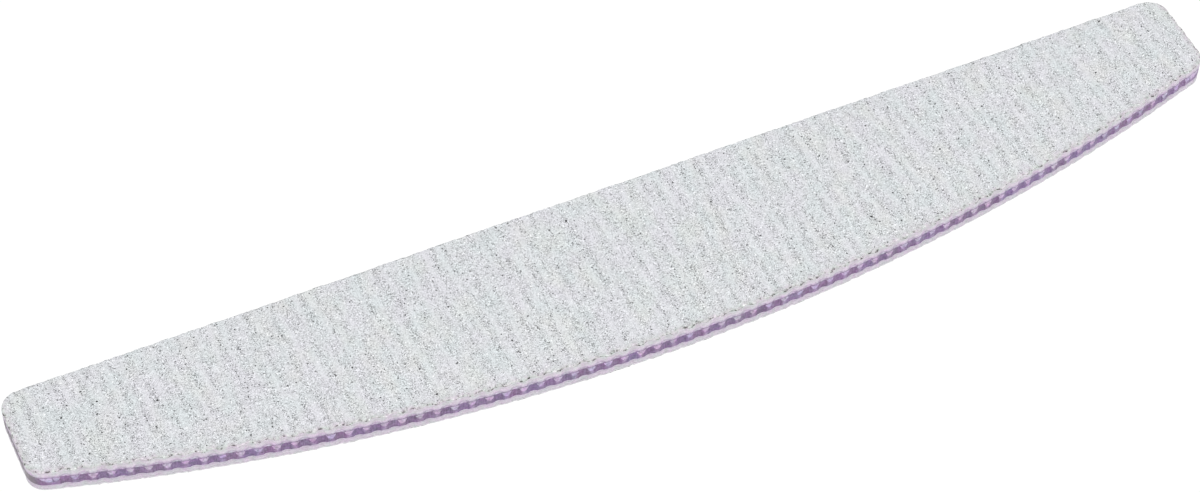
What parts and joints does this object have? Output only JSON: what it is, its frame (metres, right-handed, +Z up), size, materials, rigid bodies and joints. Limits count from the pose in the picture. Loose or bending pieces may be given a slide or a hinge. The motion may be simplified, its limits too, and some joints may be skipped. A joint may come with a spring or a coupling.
{
  "type": "emery board",
  "caption": "Half-moon emery board: a thin flat sandwich of a plastic core, foam pads and abrasive papers, with one straight long edge, one curved long edge and short square ends.",
  "frame": {"origin": "middle of the board's box in X and Y, on the lower face that it rests on", "axes": "+X along the board's length, +Y towards the straight long edge, +Z up through the layers"},
  "size_m": [0.178, 0.0272, 0.004],
  "materials": {
    "core_plastic": "rigid purple plastic sheet, glossy where the die has torn it, satin where it has cut it",
    "foam": "closed-cell foam, pale grey with a lilac cast beside the core",
    "backing_paper": "latex-soaked backing paper, pale grey at its cut edge",
    "grit": "pale grey abrasive coat with dark specks and soft paler streaks across the board, olive grey where the die has broken its rim",
    "adhesive": "clear transfer adhesive film"
  },
  "bodies": {
    "root": {"core_board": "core_plastic", "upper_core_adhesive": "adhesive", "lower_core_adhesive": "adhesive", "upper_foam_pad": "foam", "lower_foam_pad": "foam", "upper_paper_adhesive": "adhesive", "lower_paper_adhesive": "adhesive", "upper_backing_paper": "backing_paper", "lower_backing_paper": "backing_paper", "upper_grit_coat": "grit", "lower_grit_coat": "grit"}
  },
  "joints": []
}
